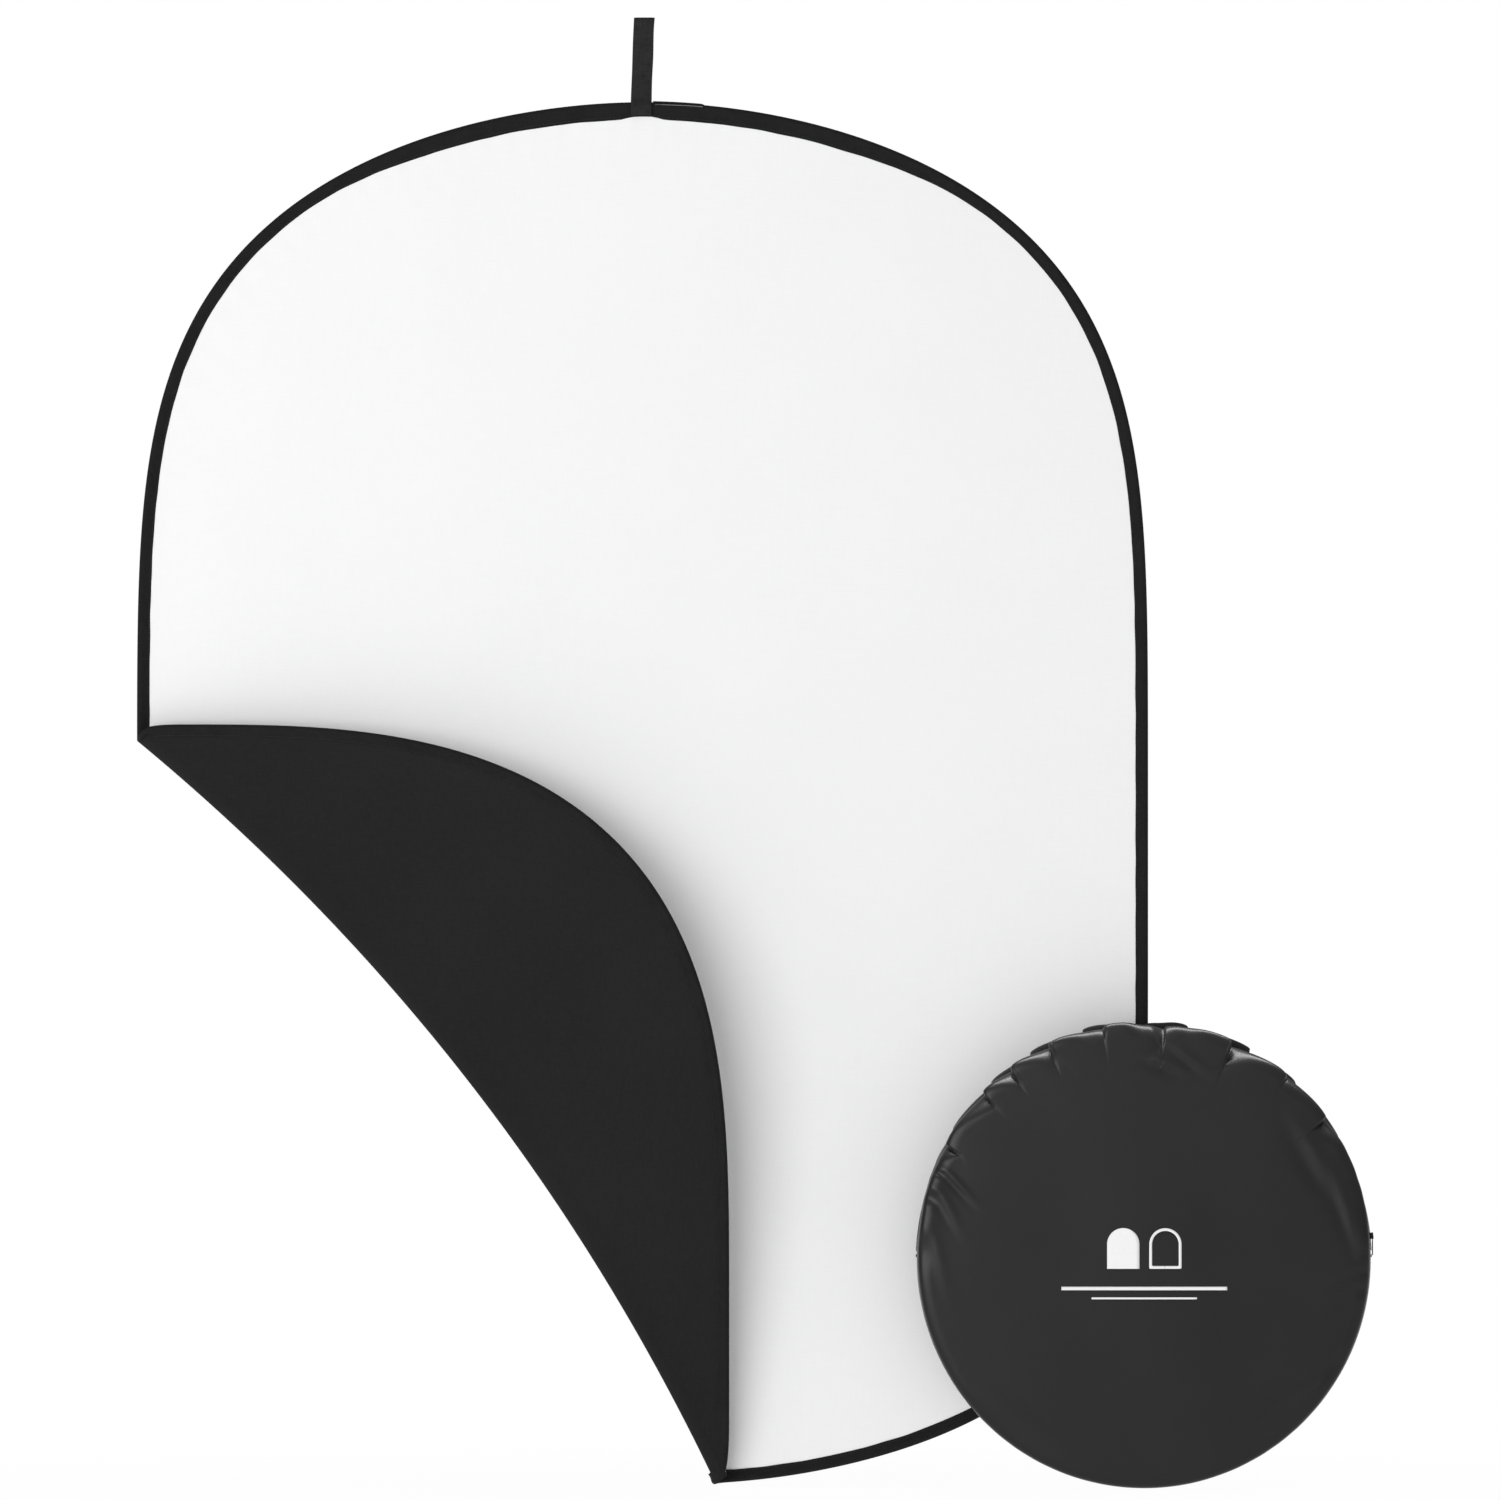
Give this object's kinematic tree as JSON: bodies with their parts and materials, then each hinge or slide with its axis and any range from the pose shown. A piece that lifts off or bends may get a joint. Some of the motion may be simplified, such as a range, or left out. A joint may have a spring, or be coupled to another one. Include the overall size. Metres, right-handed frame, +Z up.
{
  "type": "collapsible backdrop panel",
  "caption": "Tall rounded two-sided cloth backdrop on a hidden spring hoop, one corner turned forward, with a hang loop and a round zipped case.",
  "frame": {"origin": "inside the top of the hang loop, where a hook or peg bears", "axes": "+Z up, -Y toward the viewer of the white face, +X to that viewer's right"},
  "size_m": [1.7715, 0.1333, 2.1002],
  "materials": {
    "white_cloth": "matt woven",
    "black_cloth": "matt woven",
    "black_binding": "folded binding tape, fine rib",
    "black_webbing": "woven webbing",
    "case_cloth": "coated nylon, soft sheen",
    "zip_tape": "zip tape",
    "spring_steel": "tempered spring band",
    "dark_metal": "black enamelled metal"
  },
  "bodies": {
    "panel": {"front_sheet": "white_cloth", "back_sheet": "black_cloth", "fold_roll_white": "white_cloth", "fold_roll_black": "black_cloth", "binding_main": "black_binding", "binding_lap": "black_binding", "binding_bend_left": "black_binding", "binding_bend_lower": "black_binding", "hoop_right": "spring_steel", "hoop_left": "spring_steel", "hoop_ferrule": "dark_metal", "hoop_bend_left": "spring_steel", "hoop_bend_lower": "spring_steel", "loop_foot_front": "black_webbing", "loop_foot_back": "black_webbing"},
    "corner": {"corner_front_sheet": "white_cloth", "corner_back_sheet": "black_cloth", "binding_corner": "black_binding", "hoop_corner": "spring_steel"},
    "hang_loop": {"hang_loop": "black_webbing"},
    "case": {"case_front_shell": "case_cloth", "case_back_shell": "case_cloth", "case_gusset": "case_cloth", "zip_tape_front": "zip_tape", "zip_tape_back": "zip_tape", "zip_teeth_front": "dark_metal", "zip_teeth_back": "dark_metal", "zip_stop_left": "dark_metal", "zip_stop_right": "dark_metal"},
    "zip_slider": {"zip_slider": "dark_metal"},
    "zip_puller": {"zip_puller": "dark_metal"}
  },
  "joints": [
    {"name": "corner_fold", "type": "hinge", "parent": "panel", "child": "corner", "pos_m": [-0.7091, -0.018, -1.02164], "axis": [0.6145, 0, -0.7889], "range_deg": [0, 165], "deforming": ["fold_roll_white", "fold_roll_black", "hoop_bend_left", "hoop_bend_lower", "binding_bend_left", "binding_bend_lower"]},
    {"name": "hang_loop_swing", "type": "hinge", "parent": "panel", "child": "hang_loop", "pos_m": [0, 0, -0.118], "axis": [1, 0, 0], "range_deg": [-90, 90]},
    {"name": "case_lift", "type": "slide", "parent": "panel", "child": "case", "axis": [0, 0, 1], "range_m": [0, 0.3]},
    {"name": "zip_travel", "type": "hinge", "parent": "case", "child": "zip_slider", "pos_m": [0.715, -0.075, -1.774], "axis": [0, -1, 0], "range_deg": [0, 168]},
    {"name": "zip_puller_flip", "type": "hinge", "parent": "zip_slider", "child": "zip_puller", "pos_m": [1.041, -0.075, -1.73974], "axis": [0, -1, 0], "range_deg": [0, 150]}
  ]
}
